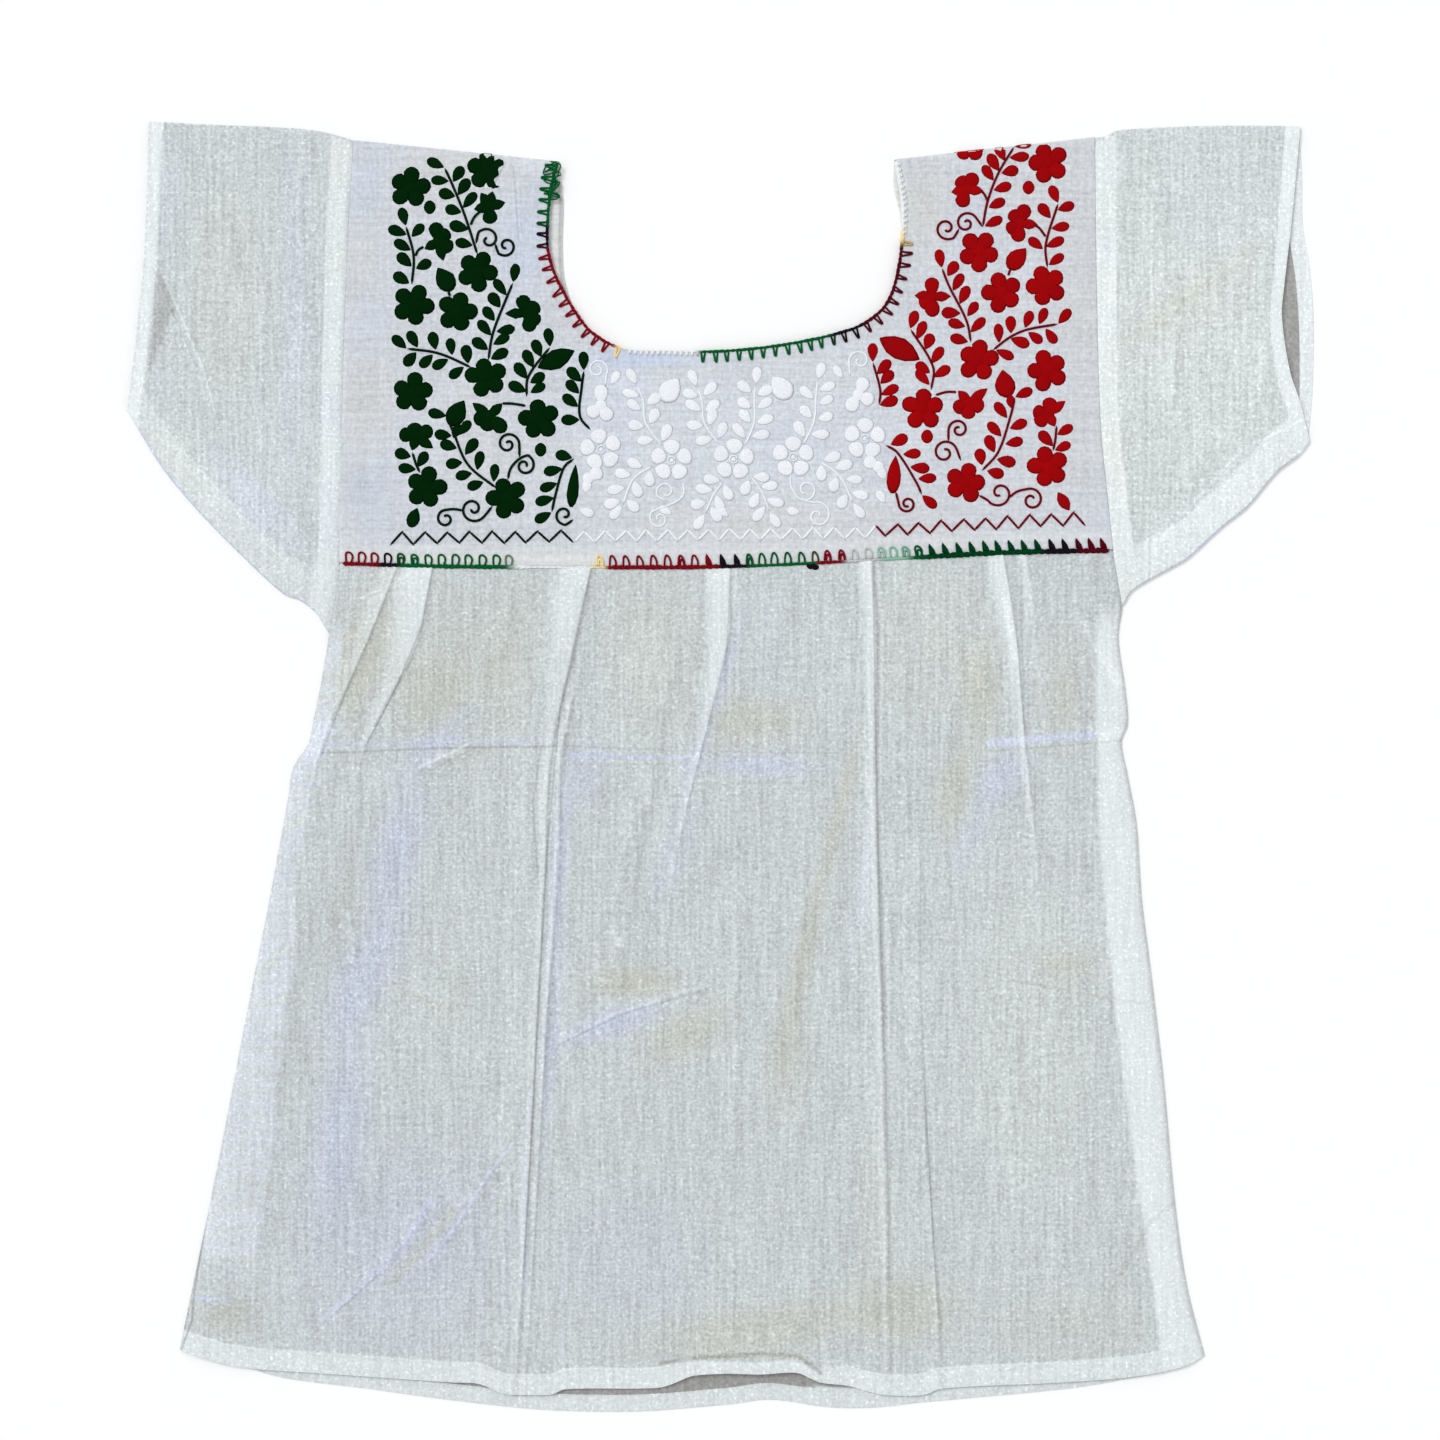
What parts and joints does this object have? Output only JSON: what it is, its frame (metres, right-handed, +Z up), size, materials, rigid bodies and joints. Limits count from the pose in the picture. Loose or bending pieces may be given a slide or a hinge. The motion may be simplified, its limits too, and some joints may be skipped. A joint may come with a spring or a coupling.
{
  "type": "blouse",
  "caption": "Wide short-sleeved smock blouse laid flat: a dense embroidered yoke with a deep round neck, and a sheer body pleated into the yoke.",
  "frame": {"origin": "on the surface that the blouse lies on, under the middle of its whole outline", "axes": "+X towards the wearer's left side, +Y from the hem to the shoulders, +Z up from the surface, out of the front of the blouse"},
  "size_m": [0.6774, 0.7353, 0.0054],
  "materials": {
    "sheer_cotton": "matt, sheer plain weave",
    "yoke_cotton": "matt, dense weave with crosswise slubs"
  },
  "bodies": {
    "root": {"yoke": "yoke_cotton", "front_skirt": "sheer_cotton", "back_skirt": "sheer_cotton", "right_sleeve": "sheer_cotton", "left_sleeve": "sheer_cotton"}
  },
  "joints": []
}
